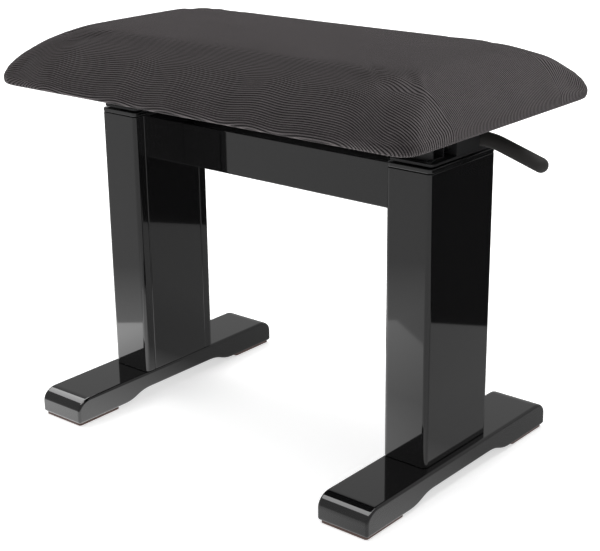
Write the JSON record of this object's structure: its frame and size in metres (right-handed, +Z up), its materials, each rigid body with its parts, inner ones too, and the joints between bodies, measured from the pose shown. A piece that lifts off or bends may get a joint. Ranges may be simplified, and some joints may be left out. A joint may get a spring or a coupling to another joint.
{
  "type": "piano bench",
  "caption": "Height-adjustable piano bench: padded ribbed-fabric seat on two gloss-black gas-spring columns with long feet, a joining rail and a release lever at one end.",
  "frame": {"origin": "on the floor, under the middle of the overall length and depth, the release lever included; the middle between the columns is at x = -0.010761 m", "axes": "+X along the bench towards the release lever, +Y to the rear, +Z up"},
  "size_m": [0.595, 0.343, 0.457],
  "materials": {
    "lacquer": "high-gloss black polyester lacquer on board",
    "felt": "matte brown-black felted rubber",
    "zinc": "satin zinc plate",
    "chrome": "polished hard chrome",
    "black_steel": "satin black powder coat",
    "nylon": "matte black nylon",
    "grip_rubber": "matte dark grey soft grip",
    "plywood": "raw birch plywood",
    "fabric": "fine-ribbed charcoal velvet",
    "foam": "open-cell upholstery foam",
    "dust_cloth": "black non-woven lining"
  },
  "bodies": {
    "base": {"foot_left": "lacquer", "foot_right": "lacquer", "foot_pad_front_left": "felt", "foot_pad_front_right": "felt", "foot_pad_rear_left": "felt", "foot_pad_rear_right": "felt", "column_shell_left": "lacquer", "column_shell_right": "lacquer", "column_inner_panel_left": "lacquer", "column_inner_panel_right": "lacquer", "column_cap_left": "lacquer", "column_cap_right": "lacquer", "base_plate_left": "zinc", "base_plate_right": "zinc", "outer_tube_left": "zinc", "outer_tube_right": "zinc", "upper_glide_left": "nylon", "upper_glide_right": "nylon", "gas_cylinder_left": "black_steel", "gas_cylinder_right": "black_steel", "spring_anchor_left": "zinc", "spring_anchor_right": "zinc", "anchor_pin_left": "zinc", "anchor_pin_right": "zinc", "foot_bolt_front_left": "zinc", "foot_bolt_front_right": "zinc", "foot_bolt_rear_left": "zinc", "foot_bolt_rear_right": "zinc", "beam_plate_left": "black_steel", "beam_plate_right": "black_steel", "rail": "lacquer", "cross_beam": "black_steel"},
    "seat_frame": {"inner_tube_left": "black_steel", "inner_tube_right": "black_steel", "lower_glide_left": "nylon", "lower_glide_right": "nylon", "gas_rod_left": "chrome", "gas_rod_right": "chrome", "rod_nut_left": "zinc", "rod_nut_right": "zinc", "carrier_plate_left": "black_steel", "carrier_plate_right": "black_steel", "front_riser_left": "black_steel", "front_riser_right": "black_steel", "release_bracket_left": "black_steel", "release_bracket_right": "black_steel", "seat_bearer_left": "black_steel", "seat_bearer_right": "black_steel", "seat_board": "plywood", "seat_cover": "fabric", "foam_core": "foam", "dust_cover": "dust_cloth"},
    "release_lever": {"release_shaft_right": "zinc", "lever_bar": "zinc", "lever_grip": "grip_rubber"},
    "left_release_shaft": {"release_shaft_left": "zinc"},
    "release_link": {"link_bar": "zinc"},
    "release_pin_left": {"release_pin_left": "zinc"},
    "release_pin_right": {"release_pin_right": "zinc"}
  },
  "joints": [
    {"name": "seat_lift", "type": "slide", "parent": "base", "child": "seat_frame", "axis": [0, 0, 1], "range_m": [0, 0.1]},
    {"name": "lever_turn", "type": "hinge", "parent": "seat_frame", "child": "release_lever", "pos_m": [0.20974, 0, 0.3696], "axis": [0, -1, 0], "range_deg": [0, 12], "stiffness_Nm_per_rad": 1.2, "springref_deg": -17.19},
    {"name": "link_slide", "type": "slide", "parent": "seat_frame", "child": "release_link", "axis": [-1, 0, 0], "range_m": [0, 0.003]},
    {"name": "left_shaft_turn", "type": "hinge", "parent": "seat_frame", "child": "left_release_shaft", "pos_m": [-0.20426, 0, 0.3696], "axis": [0, -1, 0], "range_deg": [0, 12.5]},
    {"name": "pin_press_left", "type": "slide", "parent": "seat_frame", "child": "release_pin_left", "axis": [0, 0, -1], "range_m": [0, 0.0034]},
    {"name": "pin_press_right", "type": "slide", "parent": "seat_frame", "child": "release_pin_right", "axis": [0, 0, -1], "range_m": [0, 0.0034]}
  ],
  "couplings": [
    {"joint": "link_slide", "follows": "lever_turn", "m_per_rad": 0.013},
    {"joint": "left_shaft_turn", "follows": "lever_turn", "ratio": 1},
    {"joint": "pin_press_left", "follows": "lever_turn", "m_per_rad": 0.015},
    {"joint": "pin_press_right", "follows": "lever_turn", "m_per_rad": 0.015}
  ]
}
